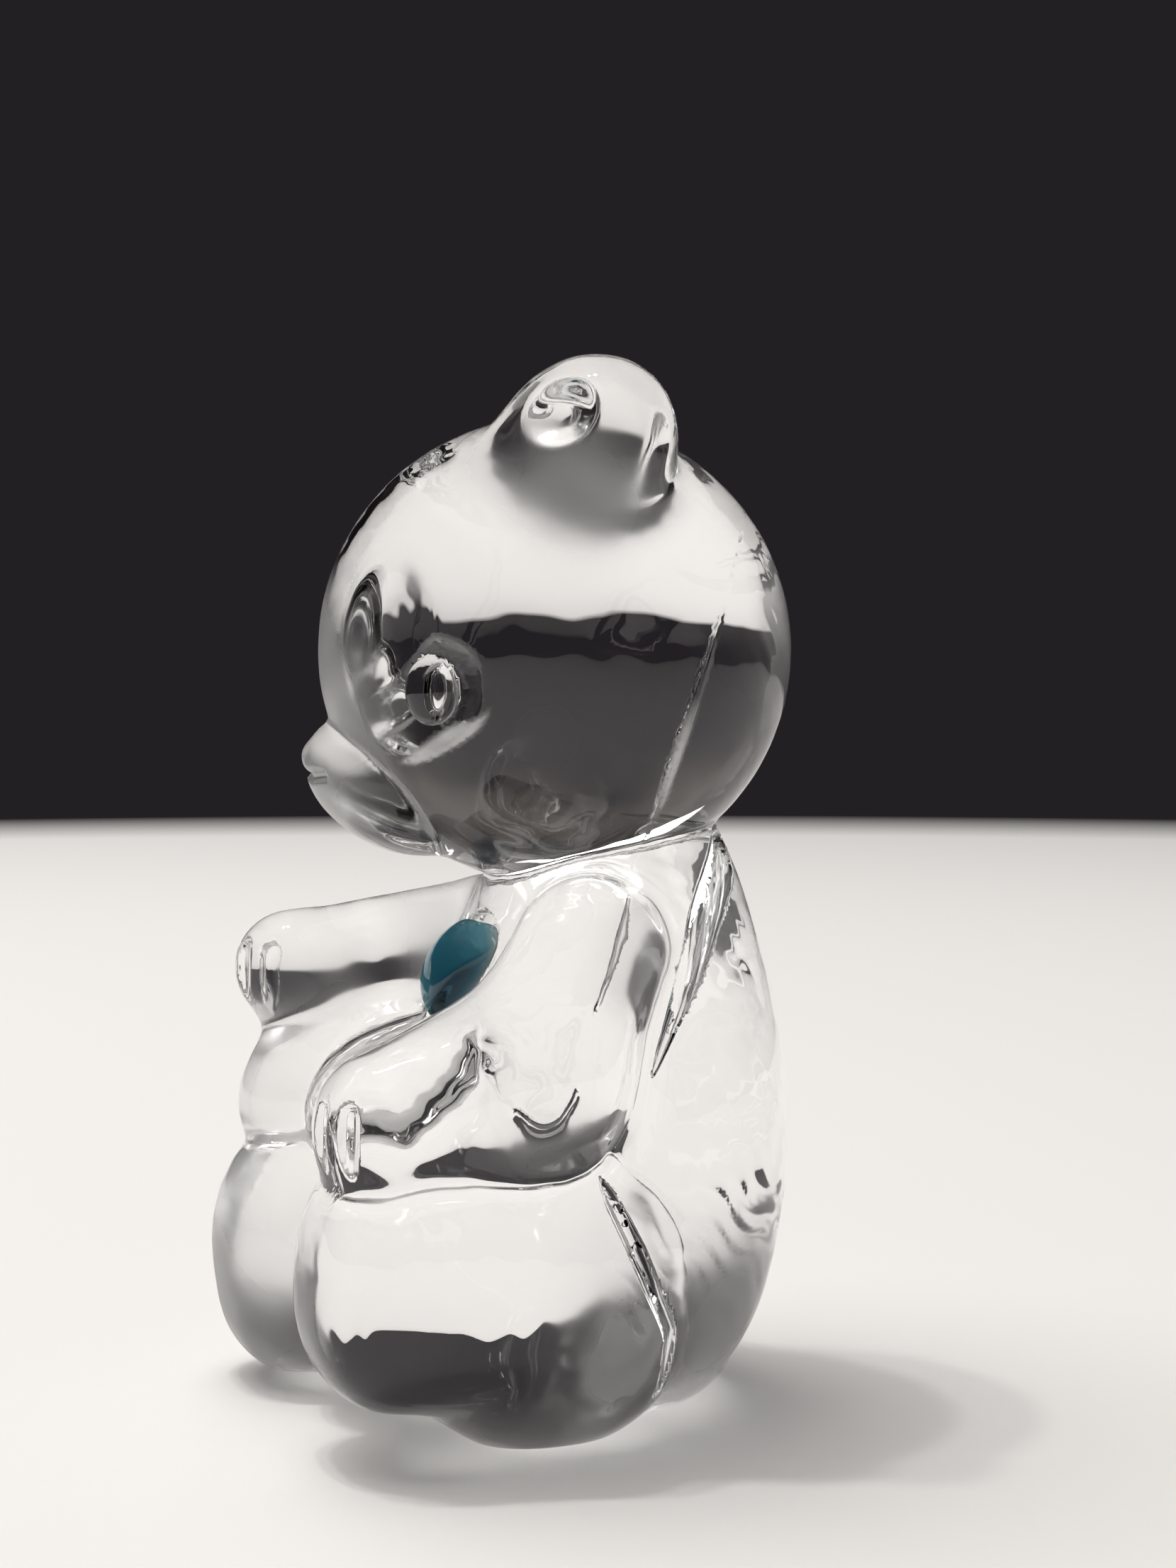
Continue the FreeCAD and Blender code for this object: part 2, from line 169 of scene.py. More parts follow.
# How wide the fillet is, in millimetres, where each lump runs into what is already there.
BLEND = {
    "chest": 3.0, "belly": 3.0, "hips": 4.0, "lap": 6.0, "web": 3.0, "base": 1.5, "boss": 2.0,
    "thigh": 4.0, "foot": 5.0, "knee": 2.5, "toe": 1.0, "leg": 0.9,
    "elbow": 5.0, "paw": 2.0, "under_arm": 5.0, "arm": 7.0,
    "muzzle": 0.8, "nose": 0.6, "eye": 0.4, "ear": 6.5, "mould_line": 0.2, "head": 0.9,
}
# How far each cut's edge is rounded.
EDGE = {
    "mouth": 0.5, "finger": 0.5, "side_groove": 0.3, "right_groove": 1.0, "leg_line": 0.3,
    "brow_hollow": 1.2, "socket": 0.5, "shelf": 0.6, "ear_dish": 1.0, "seat": 0.12, "ground": 0.3,
    "heart_rim": 0.8, "heart_back": 0.12, "bond": 0.05,
}

# How far the strongest of the three slow waves in the surface rises, in millimetres.
RIPPLE = 0.022
# Chill marks, where the glass met cooler iron: the sides that have a patch, its middle, how far it reaches,
# the direction across its streaks, their spacing and their depth.
CHILL_MARKS = (
    (BOTH, (15.5, 8.0, 15.0), 9.0, (0.31, 0.77, 0.55), 1.9, 0.045),
    (RIGHT, (14.0, -19.0, 18.0), 9.0, (0.2, 0.45, 0.87), 2.3, 0.04),
)
# Matt spots: the sides that have one, its middle, the distances between which the matt look fades, its
# roughness and how frosted it is. The head's are measured as its lumps are.
HEAD_MATT = (
    (BOTH, (0.0, -18.0, -5.0), 9.0, 14.5, 0.32, 0.22),
    (BOTH, (15.5, 1.5, 12.0), 2.5, 8.5, 0.45, 0.2),
)
BODY_MATT = (
    (BOTH, (15.0, 10.0, 9.0), 4.0, 13.0, 0.28, 0.1),
    (RIGHT, (14.0, -19.0, 9.0), 5.0, 15.0, 0.4, 0.2),
    (RIGHT, (13.0, -18.0, 26.0), 3.0, 9.0, 0.35, 0.2),
    (RIGHT, (15.0, -15.0, 34.5), 3.0, 8.5, 0.3, 0.2),
    (RIGHT, (14.0, 0.0, 38.0), 5.0, 13.0, 0.4, 0.25),
)
# Where the shelves and the mould line are frosted: for the distance from the shelf, into the socket's wall,
# from the line's plane and from the middle of the head, where the frost is full and where it is gone.
SHELF_FROST = (0.2286, 0.5143)
SOCKET_FROST = (0.25, 0.75)
LINE_FROST = (0.21, 0.51)
OFF_MIDDLE = (7.0, 6.0)
FROST_ROUGHNESS = 0.5
# How frosted the mould line is at most. Its frost ends this share of the way up it.
LINE_FROSTED = 0.8
LINE_SHARE = 1 / 1.7

# The share of light that goes on through fully frosted glass.
FROST_CLEAR = 0.2
GLASS_IOR = 1.54
RESIN_IOR = 1.5
RESIN_ROUGHNESS = 0.4
# What each glass darkens towards, and how fast.
CRYSTAL_TINT = (0.9, 0.95, 0.94)
CRYSTAL_DENSITY = 1.0
TEAL_TINT = (0.04, 0.55, 0.65)
TEAL_DENSITY = 780
# Polishing marks: how many to the metre, their strength, and their depth in metres.
MARK_SCALE = 260
MARK_STRENGTH = 0.02
MARK_DEPTH = 0.0002

# The photographer's place and look, in metres, as from_view takes them.
VIEW_AZIMUTH = math.radians(68)
VIEW_RIGHT = Vector((math.cos(VIEW_AZIMUTH), math.sin(VIEW_AZIMUTH), 0))
VIEW_BACK = Vector((math.sin(VIEW_AZIMUTH), -math.cos(VIEW_AZIMUTH), 0))
UP = Vector((0, 0, 1))
CAMERA_AT = (0.0041, 0.218, 0.062)
CAMERA_PITCH = math.radians(2.15)
LENS = 57.0

# The table is a disc of this radius that darkens towards its edge over the last TABLE_FADE.
TABLE_REACH = 1.02
TABLE_FADE = 0.17
TABLE_TOP = (0.80, 0.79, 0.78)
TABLE_SIDES = 128
TABLE_ROUGHNESS = 0.6
ROOM = (0.0168, 0.0144, 0.0168)
CEILING = (0.075, 0.066, 0.06)
# The ceiling's colour comes in between these heights of the sky, and in blotches that fade between these
# strengths of their noise.
CEILING_FROM = (0.30, 0.55)
BLOTCH_FADE = (0.42, 0.58)
BLOTCH_SCALE = 2.2
BLOTCH_DETAIL = 1.5
# Each lamp's place as from_view takes it, its size, power and colour. All point at LIT.
LIT = Vector((0, 0, 0.04))
LAMPS = {
    "soft_sky": ((-0.5, -0.3, 1.7), 1.8, 38, (1.0, 0.985, 0.965)),
    "lamp_0": ((-0.33, -0.1, 1.2), 0.05, 2.0, (1.0, 0.98, 0.95)),
    "lamp_1": ((-0.21, -0.1, 1.2), 0.05, 2.0, (1.0, 0.98, 0.95)),
}
# A lamp wider than this gives light but is not seen as a highlight on the glass.
WIDEST_HIGHLIGHT = 1.0

# The grids that the pieces are meshed on: the size of a cell, and the room left round the piece.
BEAR_STEP = 0.40
BEAR_ROOM = 2.0
HEART_STEP = 0.09
HEART_ROOM = 0.4
BOND_STEP = 0.07
BOND_ROOM = 0.2
# A grid's distances are true this many cells from the surface.
BAND = 3


# ---------------------------------------------------------------- distance functions

def turned(angle):
    """The matrix that turns a row of points about Z by angle."""
    c, s = math.cos(angle), math.sin(angle)
    return np.array([[c, -s, 0], [s, c, 0], [0, 0, 1]])


def tilted(angle):
    """The matrix that tilts a row of points about X by angle."""
    c, s = math.cos(angle), math.sin(angle)
    return np.array([[1, 0, 0], [0, c, -s], [0, s, c]])


def rolled(angle):
    """The matrix that rolls a row of points about Y by angle, lifting +X."""
    c, s = math.cos(angle), math.sin(angle)
    return np.array([[c, 0, -s], [0, 1, 0], [s, 0, c]])


def egg(points, row, side=1, turn=0.0, tilt=0.0, roll=0.0, power=2.0):
    """Distance to the rounded lump of one table row. Side -1 is its mirror image in the middle plane.

    Power 2 is an ellipsoid. A higher power has flatter sides and fuller corners.
    """
    centre = np.array([row[3] * side, row[4], row[5]])
    axes = turned(turn * side) @ rolled(roll * side) @ tilted(tilt)
    radii = np.array(row[:3]) / 2
    local = np.abs((points - centre) @ axes) / radii
    near = np.maximum((local ** power).sum(-1) ** (1 / power), 1e-6)
    slope = np.sqrt(((local ** (power - 1) / radii) ** 2).sum(-1)) * near ** (1 - power)
    return (near - 1) / np.maximum(slope, 1e-9)


def limb(points, start, end):
    """Distance to a round limb that tapers evenly between two joints."""
    a, b = np.array(start[:3]), np.array(end[:3])
    small, big = start[3], end[3]
    along = b - a
    length2 = along @ along
    taper = small - big
    inner2 = length2 - taper * taper
    offset = points - a
    y = offset @ along
    z = y - length2
    x2 = ((offset * length2 - y[..., None] * along) ** 2).sum(-1)
    y2 = y * y * length2
    z2 = z * z * length2
    k = math.copysign(1, taper) * taper * taper * x2
    beyond_end = np.sign(z) * inner2 * z2 > k
    before_start = np.sign(y) * inner2 * y2 < k
    middle = (np.sqrt(x2 * inner2 / length2) + y * taper) / length2 - small
    at_end = np.sqrt(x2 + z2) / length2 - big
    at_start = np.sqrt(x2 + y2) / length2 - small
    return np.where(beyond_end, at_end, np.where(before_start, at_start, middle))


def join(a, b, blend):
    """The union of two shapes, with a fillet about blend wide where they meet."""
    near = np.maximum(blend - np.abs(a - b), 0) / blend
    return np.minimum(a, b) - near ** 3 * blend / 6


def carve(a, b, blend):
    """Shape a with shape b taken out of it, and the edge rounded."""
    return -join(-a, b, blend)


def groove(points, path, radii, shape, edge):
    """Shape with a round groove cut into it along a path of points, with the groove's radius at each."""
    ends = [(*point, radius) for point, radius in zip(path, radii)]
    line = np.full(points.shape[:-1], 99.0)
    for start, end in zip(ends[:-1], ends[1:]):
        line = np.minimum(line, limb(points, start, end))
    return carve(shape, line, edge)


def on_egg(row, direction, side=1, tilt=0.0):
    """The point of an egg's surface in a direction given in the egg's own axes."""
    unit = np.array(direction, float)
    unit /= np.linalg.norm(unit)
    local = unit * np.array(row[:3]) / 2
    centre = np.array([row[3] * side, row[4], row[5]])
    return centre + tilted(tilt) @ local * np.array([side, 1, 1])


# ---------------------------------------------------------------- the bear

def ripple(points):
    """The slow waviness that a pressed and fire-polished glass surface keeps: three waves, each finer."""
    x, y, z = points[..., 0], points[..., 1], points[..., 2]
    wave = np.sin(0.71 * x + 0.33 * z + 1.3) * np.sin(0.57 * y - 0.41 * z + 0.4)
    wave += 0.6 * np.sin(1.13 * y + 0.62 * x + 2.1) * np.sin(0.94 * z - 0.37 * x)
    wave += 0.3 * np.sin(1.9 * z + 1.2 * y) * np.sin(1.7 * x - 0.8 * y + 0.9)
    return RIPPLE * wave


def chill_marks(points):
    """Uneven streaks in patches on the haunches and the right foot."""
    x, y, z = points[..., 0], points[..., 1], points[..., 2]
    wander = 1.6 * np.sin(0.45 * z + 0.3 * x) + 1.1 * np.sin(0.8 * y - 0.5 * z + 0.7)
    marks = 0.0
    for sides, middle, reach, across, spacing, depth in CHILL_MARKS:
        for side in sides:
            mirror = np.array((side, 1, 1))
            offset = points - np.array(middle) * mirror
            fade = np.exp(-((offset / reach) ** 2).sum(-1) * 1.5)
            phase = offset @ (np.array(across) * mirror) * 2 * math.pi / spacing
            marks = marks + depth * fade * np.sin(phase + wander)
    return marks


def toes(points, foot, side, shape):
    """Three low toes across the front of a foot."""
    for place in (-1, 0, 1):
        out = foot[3] + side * place * TOE_GAP
        row = (*TOE, out, foot[4] - TOE_FORWARD, foot[5] + TOE_UP - place * TOE_DROP)
        shape = join(shape, egg(points, row), BLEND["toe"])
    return shape


def leg(points, rows, side):
    """One leg of a table's rows, with its toes."""
    shape = egg(points, rows["haunch"], power=FULLNESS["haunch"])
    thigh = egg(points, rows["thigh"], tilt=THIGH_TILT[side], power=FULLNESS["thigh"])
    shape = join(shape, thigh, BLEND["thigh"])
    for name in ("foot", "knee"):
        if name in rows:
            shape = join(shape, egg(points, rows[name], power=FULLNESS[name]), BLEND[name])
    return toes(points, rows["foot"], side, shape)


def finger_grooves(points, paw, side, angles, shape):
    """Upright grooves that part the fingers round the front of a paw."""
    out, back, up, radius = paw
    for angle in np.radians(angles):
        x = out + side * radius * math.sin(angle)
        y = back - radius * math.cos(angle)
        path = [(x, y, up + height) for height in FINGER_ENDS]
        shape = groove(points, path, (FINGER_RADIUS, FINGER_RADIUS), shape, EDGE["finger"])
    return shape


def arms(points):
    """The left arm, bent and resting forward, and the right arm, held straight out with a fuller paw."""
    shoulder, elbow, paw = LEFT_ARM
    left = join(limb(points, shoulder, elbow), limb(points, elbow, paw), BLEND["elbow"])
    left = finger_grooves(points, paw, 1, LEFT_FINGERS, left)
    right = join(limb(points, *RIGHT_ARM), egg(points, RIGHT_PAW), BLEND["paw"])
    right = finger_grooves(points, RIGHT_ARM[1], -1, RIGHT_FINGERS, right)
    return left, right


def ear(points, side):
    """An ear with a shallow dish in its front."""
    shape = egg(points, HEAD["ear"], side, EAR_TURN, roll=EAR_ROLL)
    return carve(shape, egg(points, HEAD["ear_dish"], side), EDGE["ear_dish"])


def shelf(points, side):
    """Height above the flat shelf on top of a cheek."""
    start, end = (np.array(point) for point in SHELF_ENDS)
    along = (end - start) / np.linalg.norm(end - start)
    up = np.array([0, 0, 1]) - along[2] * along
    up /= np.linalg.norm(up)
    out = np.cross(along, up)
    faces = out * math.cos(SHELF_FACES) + up * math.sin(SHELF_FACES)
    return (points * (side, 1, 1) - start) @ faces


def hollow(points, side):
    """The whole rounded hollow round an eye."""
    return egg(points, HEAD["socket"], side, SOCKET_TURN, SOCKET_TILT)


def socket(points, side):
    """The hollow that an eye sits in, cut off below by the shelf on top of the cheek."""
    return -join(-hollow(points, side), shelf(points, side), EDGE["shelf"])


def mould_plane(points):
    """Distance from the plane of the mould line, and the share of the way up the line."""
    line = MOULD_LINE
    up = points[..., 2]
    plane = points[..., 1] - line["back"] - (up - line["up"]) * line["slope"]
    along = np.clip((up - line["low"]) / (line["high"] - line["low"]), 0, 1)
    return plane / math.hypot(1, line["slope"]), along


def mould_line(points, skull):
    """The skull with a thin raised line on both sides, where the halves of the mould met.

    The line thins out to nothing at both ends and is thickest low down.
    """
    plane, along = mould_plane(points)
    swell = np.sqrt(np.sin(math.pi * along)) * (1.45 - 0.75 * along)
    return join(skull, np.hypot(plane, skull) - MOULD_LINE["radius"] * swell, BLEND["mould_line"])


def mouth_groove(points, ways, side, shape):
    """A groove in the muzzle through the points of its surface that lie those ways."""
    path = [on_egg(HEAD["muzzle"], way, side, tilt=MUZZLE_TILT) for way in ways]
    return groove(points, path, [MOUTH_RADIUS] * len(path), shape, EDGE["mouth"])


def head(world):
    """Skull, eyes, muzzle, nose, mouth and ears, in axes that turn with the head."""
    points = (world - np.array(HEAD_AT)) @ turned(HEAD_TURN)
    skull = egg(points, HEAD["skull"])
    for side in BOTH:
        skull = carve(skull, egg(points, HEAD["brow_hollow"], side), EDGE["brow_hollow"])
        skull = carve(skull, socket(points, side), EDGE["socket"])
    skull = mould_line(points, skull)
    shape = join(skull, egg(points, HEAD["muzzle"], tilt=MUZZLE_TILT), BLEND["muzzle"])
    shape = join(shape, egg(points, HEAD["nose"]), BLEND["nose"])
    shape = mouth_groove(points, LIP, 1, shape)
    for side in BOTH:
        shape = mouth_groove(points, SMILE, side, shape)
        shape = join(shape, egg(points, HEAD["eye"], side, EYE_TURN), BLEND["eye"])
        shape = join(shape, ear(points, side), BLEND["ear"])
    return shape


def to_seat(points):
    """Points in millimetres in the seat's own axes: across, up it and out of it."""
    return (points - np.array(SEAT)) @ np.column_stack([(1, 0, 0), SEAT_UP, SEAT_OUT])


def seat(points, shape):
    """The low swelling on the chest and the flat seat that is cut across it."""
    local = to_seat(points)
    boss = egg(local, (*BOSS, 0.0, 0.0, -BOSS_SUNK - BOND_THICK / 2))
    shape = join(shape, boss, BLEND["boss"])
    across = np.hypot(local[..., 0], local[..., 1]) - SEAT_RADIUS
    plane = -(local[..., 2] + BOND_THICK / 2 + AIR_GAP)
    return carve(shape, np.maximum(across, plane), EDGE["seat"])


def side_grooves(points, shape):
    """The tapered groove behind each arm and the line behind the left leg."""
    shape = groove(points, SIDE_GROOVE, SIDE_GROOVE_RADII, shape, EDGE["side_groove"])
    shape = groove(points, LEG_LINE, LEG_LINE_RADII, shape, EDGE["leg_line"])
    right = [(-out, back, up) for out, back, up in SIDE_GROOVE]
    radii = [radius * RIGHT_GROOVE_SIZE for radius in SIDE_GROOVE_RADII]
    return groove(points, right, radii, shape, EDGE["right_groove"])


def bear(points):
    """Distance from each point to the glass, in millimetres; negative inside."""
    shape = egg(points, TRUNK["rump"])
    for name in ("chest", "belly", "hips", "lap", "web", "base"):
        shape = join(shape, egg(points, TRUNK[name]), BLEND[name])
    for rows, side in ((LEFT_LEG, 1), (RIGHT_LEG, -1)):
        shape = join(shape, leg(points, rows, side), BLEND["leg"])
    for side in BOTH:
        shape = join(shape, egg(points, UNDER_ARM, side), BLEND["under_arm"])
    shape = side_grooves(points, shape)
    shape = seat(points, shape)
    for arm in arms(points):
        shape = join(shape, arm, BLEND["arm"])
    shape = join(shape, head(points), BLEND["head"])
    shape = shape + ripple(points) + chill_marks(points)
    return carve(shape, points[..., 2], EDGE["ground"])


# ---------------------------------------------------------------- the heart and its bond

def heart_rim(x, y):
    """Signed distance in the heart's plane to its outline; negative inside.

    Each half is a round lobe and a long flank, one arc running smoothly into the other and down to the point.
    """
    points = np.stack([np.abs(x), y], -1)
    lobe = np.array([HEART_WIDE / 2 - HEART_LOBE, HEART_TALL / 2 - HEART_LOBE])
    tip = np.array([0.0, -HEART_TALL / 2])
    cleft = np.array([0.0, lobe[1] + math.sqrt(HEART_LOBE ** 2 - lobe[0] ** 2)])
    # The lobe's circle touches the flank's from inside it, in the direction meet from the lobe's middle.
    gap = HEART_FLANK - HEART_LOBE
    drop = tip - lobe
    reach = np.linalg.norm(drop)
    open_angle = math.acos((HEART_FLANK ** 2 - gap ** 2 - reach ** 2) / (2 * gap * reach))
    meet_angle = math.atan2(drop[1], drop[0]) + open_angle
    meet = np.array([math.cos(meet_angle), math.sin(meet_angle)])
    flank = lobe - meet * gap

    from_lobe = points - lobe
    from_flank = points - flank
    to_lobe = np.linalg.norm(from_lobe, axis=-1) - HEART_LOBE
    to_flank = np.linalg.norm(from_flank, axis=-1) - HEART_FLANK
    below = meet[0] * from_lobe[..., 1] - meet[1] * from_lobe[..., 0] < 0
    before_tip = (tip - flank)[0] * from_flank[..., 1] - (tip - flank)[1] * from_flank[..., 0] > 0
    to_tip = np.linalg.norm(points - tip, axis=-1)
    to_cleft = np.linalg.norm(points - cleft, axis=-1)
    left_of_cleft = (cleft - lobe)[0] * from_lobe[..., 1] - (cleft - lobe)[1] * from_lobe[..., 0] > 0
    lobe_arc = np.where(below | left_of_cleft, to_cleft, np.abs(to_lobe))
    flank_arc = np.where(below & before_tip, np.abs(to_flank), to_tip)
    inside = (to_lobe < 0) | (below & (to_flank < 0) & (points[..., 1] < cleft[1]))
    return np.where(inside, -1, 1) * np.minimum(lobe_arc, flank_arc)


def heart(points):
    """Distance to the heart: flat behind, upright at its edge, and one low dome in front."""
    rim = heart_rim(points[..., 0], points[..., 1])
    rise = HEART_THICK - HEART_GIRDLE
    dome_radius = ((HEART_WIDE / 2) ** 2 + rise ** 2) / (2 * rise)
    centre = np.array([0, 0, HEART_THICK - dome_radius])
    dome = np.linalg.norm(points - centre, axis=-1) - dome_radius
    shape = -join(-rim, -dome, EDGE["heart_rim"])
    return carve(shape, points[..., 2], EDGE["heart_back"])


def film(points):
    """Distance to the thin bond, a little inside the heart's edge, with a rounded rim."""
    rim = heart_rim(points[..., 0], points[..., 1]) + BOND_INSET
    thick = np.abs(points[..., 2]) - (BOND_THICK / 2 - AIR_GAP)
    return -join(-rim, -thick, EDGE["bond"])


# ---------------------------------------------------------------- meshes

def band_of_distances(distance, low, high, step):
    """A grid of distances. Cells far from the surface keep the value of a coarser grid."""
    coarse = 4
    counts = np.ceil((np.array(high) - np.array(low)) / (step * coarse)).astype(int) + 1
    axes = [low[i] + (np.arange(counts[i]) + 0.5) * step * coarse for i in range(3)]
    blocks = distance(np.stack(np.meshgrid(*axes, indexing="ij"), -1))
    grid = blocks.repeat(coarse, 0).repeat(coarse, 1).repeat(coarse, 2)
    cells = np.argwhere(np.abs(grid) < step * coarse * 1.5)
    points = np.array(low) + (cells + 0.5) * step
    grid[tuple(cells.T)] = distance(points)
    return np.clip(grid, -step * BAND, step * BAND).astype(np.float32)


def slope_of(distance, points, reach=0.01):
    """The unit outward direction at each point, and how fast the distance grows along it."""
    slope = np.zeros_like(points)
    for corner in ((1, -1, -1), (-1, -1, 1), (-1, 1, -1), (1, 1, 1)):
        way = np.array(corner, float)
        slope += way * (distance(points + way * reach) / (4 * reach))[:, None]
    size = np.maximum(np.linalg.norm(slope, axis=1, keepdims=True), 1e-6)
    return slope / size, size[:, 0]


def mesh_from_distance(name, distance, low, high, step):
    """A closed mesh of the surface where the distance is zero, with exact points and normals."""
    values = band_of_distances(distance, low, high, step)
    volume = openvdb.FloatGrid(step * BAND)
    volume.copyFromArray(values)
    points, triangles, quads = volume.convertToPolygons(isovalue=0.0, adaptivity=0.0)
    points = np.array(low) + (points.astype(float) + 0.5) * step
    for _ in range(2):
        away, growth = slope_of(distance, points)
        move = np.clip(distance(points) / growth, -step / 2, step / 2)
        points = points - away * move[:, None]
    normals, _ = slope_of(distance, points)
    faces = quads.tolist() + triangles.tolist()
    mesh = bpy.data.meshes.new(name)
    mesh.from_pydata((points * MM).tolist(), [], faces)
    mesh.shade_smooth()
    mesh.update()
    mesh.normals_split_custom_set_from_vertices(normals.tolist())
    piece = bpy.data.objects.new(name, mesh)
    bpy.context.scene.collection.objects.link(piece)
    return piece


def place_on_seat(piece, lift):
    """Put a piece made about the seat's own axes onto the chest, lift above the middle of the adhesive."""
    axes = Matrix.Identity(3)
    axes.col[0] = Vector((1, 0, 0))
    axes.col[1] = SEAT_UP
    axes.col[2] = SEAT_OUT
    at = Matrix.Translation((SEAT + SEAT_OUT * lift) * MM) @ axes.to_4x4()
    normals = [axes @ normal.vector for normal in piece.data.corner_normals]
    piece.data.transform(at)
    piece.data.normals_split_custom_set(normals)


def points_of(piece):
    """A piece's points, in millimetres."""
    points = np.empty(len(piece.data.vertices) * 3)
    piece.data.vertices.foreach_get("co", points)
    return points.reshape(-1, 3) / MM


def mark(piece, name, values):
    """Give each point of a piece a value that its material reads by name."""
    piece.data.attributes.new(name, "FLOAT", "POINT").data.foreach_set("value", values)


def mark_bonded(piece):
    """Mark the points of a piece that lie on the flat seat of the heart, where glass meets glass."""
    local = to_seat(points_of(piece))
    flat = np.abs(local[:, 2]) < BOND_THICK
    within = heart_rim(local[:, 0], local[:, 1]) < BOND_SPREAD
    mark(piece, "bonded", (flat & within).astype(float))


def fading(distance, full, gone):
    """One at the distance full, nothing at the distance gone, and an even slope from one to the other."""
    return np.clip((gone - distance) / (gone - full), 0, 1)


def mark_skin(piece):
    """Mark how matt and how frosted each point of the bear is."""
    points = points_of(piece)
    local = (points - np.array(HEAD_AT)) @ turned(HEAD_TURN)
    matt = np.zeros(len(points))
    frost = np.zeros(len(points))
    for places, spots in ((local, HEAD_MATT), (points, BODY_MATT)):
        for sides, centre, inner, outer, roughness, milky in spots:
            for side in sides:
                away = np.linalg.norm(places - np.array(centre) * (side, 1, 1), axis=1)
                fade = fading(away, inner, outer)
                fade = fade * fade * (3 - 2 * fade)
                matt = np.maximum(matt, roughness * fade)
                frost = np.maximum(frost, milky * fade)
    for side in BOTH:
        on_shelf = fading(np.abs(shelf(local, side)), *SHELF_FROST)
        frosted = on_shelf * fading(hollow(local, side), *SOCKET_FROST)
        frost = np.maximum(frost, frosted)
        matt = np.maximum(matt, frosted * FROST_ROUGHNESS)
    plane, along = mould_plane(local)
    crescent = np.sin(math.pi * np.clip(along / LINE_SHARE, 0, 1)) * fading(np.abs(plane), *LINE_FROST)
    frost = np.maximum(frost, LINE_FROSTED * crescent * fading(np.abs(local[:, 0]), *OFF_MIDDLE))
    mark(piece, "matt", matt)
    mark(piece, "frost", frost)


def adopt(piece, node, material):
    """Make a piece stand for a CAD node, with its own material."""
    piece.data.materials.append(material)
    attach(piece, "root")
    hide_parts(node)


# ---------------------------------------------------------------- materials

def principled(name):
    """A new material with its nodes, its links and its shader."""
    material = bpy.data.materials.new(name)
    material.use_nodes = True
    nodes = material.node_tree.nodes
    return material, nodes, material.node_tree.links, nodes["Principled BSDF"]


def follow(nodes, links, attribute, low, high, target):
    """Lead marked values to a shader's input: low where the mark is 0 and high where it is 1."""
    marked = nodes.new("ShaderNodeAttribute")
    marked.attribute_name = attribute
    spread = nodes.new("ShaderNodeMapRange")
    spread.inputs["To Min"].default_value = low
    spread.inputs["To Max"].default_value = high
    links.new(marked.outputs["Fac"], spread.inputs["Value"])
    links.new(spread.outputs["Result"], target)


def share_between(nodes, links, source, low, high):
    """The share of the way from low to high that a value is."""
    share = nodes.new("ShaderNodeMapRange")
    share.inputs["From Min"].default_value = low
    share.inputs["From Max"].default_value = high
    links.new(source, share.inputs["Value"])
    return share.outputs["Result"]


def mix_colours(nodes, links, share, first, second, target):
    """Lead a mix of two colours to an input: the first where the share is 0, the second where it is 1."""
    mix = nodes.new("ShaderNodeMix")
    mix.data_type = "RGBA"
    mix.inputs["A"].default_value = (*first, 1)
    mix.inputs["B"].default_value = (*second, 1)
    links.new(share, mix.inputs["Factor"])
    links.new(mix.outputs["Result"], target)


def polishing_marks(nodes, links, shader):
    """Faint unevenness that is fixed to the object."""
    where = nodes.new("ShaderNodeTexCoord")
    noise = nodes.new("ShaderNodeTexNoise")
    noise.inputs["Scale"].default_value = MARK_SCALE
    noise.inputs["Detail"].default_value = 1
    links.new(where.outputs["Object"], noise.inputs["Vector"])
    bump = nodes.new("ShaderNodeBump")
    bump.inputs["Strength"].default_value = MARK_STRENGTH
    bump.inputs["Distance"].default_value = MARK_DEPTH
    links.new(noise.outputs["Fac"], bump.inputs["Height"])
    links.new(bump.outputs["Normal"], shader.inputs["Normal"])


def glass(name, ior, roughness=0.0):
    """Clear glass with faint polishing marks.

    Light passes straight through its bonded faces, which have glass on both sides, and bends elsewhere.
    """
    material, nodes, links, shader = principled(name)
    shader.inputs["Base Color"].default_value = (1, 1, 1, 1)
    shader.inputs["Transmission Weight"].default_value = 1
    shader.inputs["Roughness"].default_value = roughness
    follow(nodes, links, "bonded", ior, 1.0, shader.inputs["IOR"])
    polishing_marks(nodes, links, shader)
    return material


def tint(material, colour, density):
    """Make glass darken towards a colour as light passes through it."""
    nodes = material.node_tree.nodes
    depth = nodes.new("ShaderNodeVolumeAbsorption")
    depth.inputs["Color"].default_value = (*colour, 1)
    depth.inputs["Density"].default_value = density
    material.node_tree.links.new(depth.outputs["Volume"], nodes["Material Output"].inputs["Volume"])


def crystal_glass():
    """The bear's glass, which the mould left a little matt in some places and frosted in others."""
    material = glass("crystal", GLASS_IOR)
    tint(material, CRYSTAL_TINT, CRYSTAL_DENSITY)
    nodes, links = material.node_tree.nodes, material.node_tree.links
    shader = nodes["Principled BSDF"]
    follow(nodes, links, "matt", 0.0, 1.0, shader.inputs["Roughness"])
    follow(nodes, links, "frost", 1.0, FROST_CLEAR, shader.inputs["Transmission Weight"])
    return material


def teal_glass():
    """The heart's blue-green glass."""
    material = glass("teal_glass", GLASS_IOR)
    tint(material, TEAL_TINT, TEAL_DENSITY)
    return material


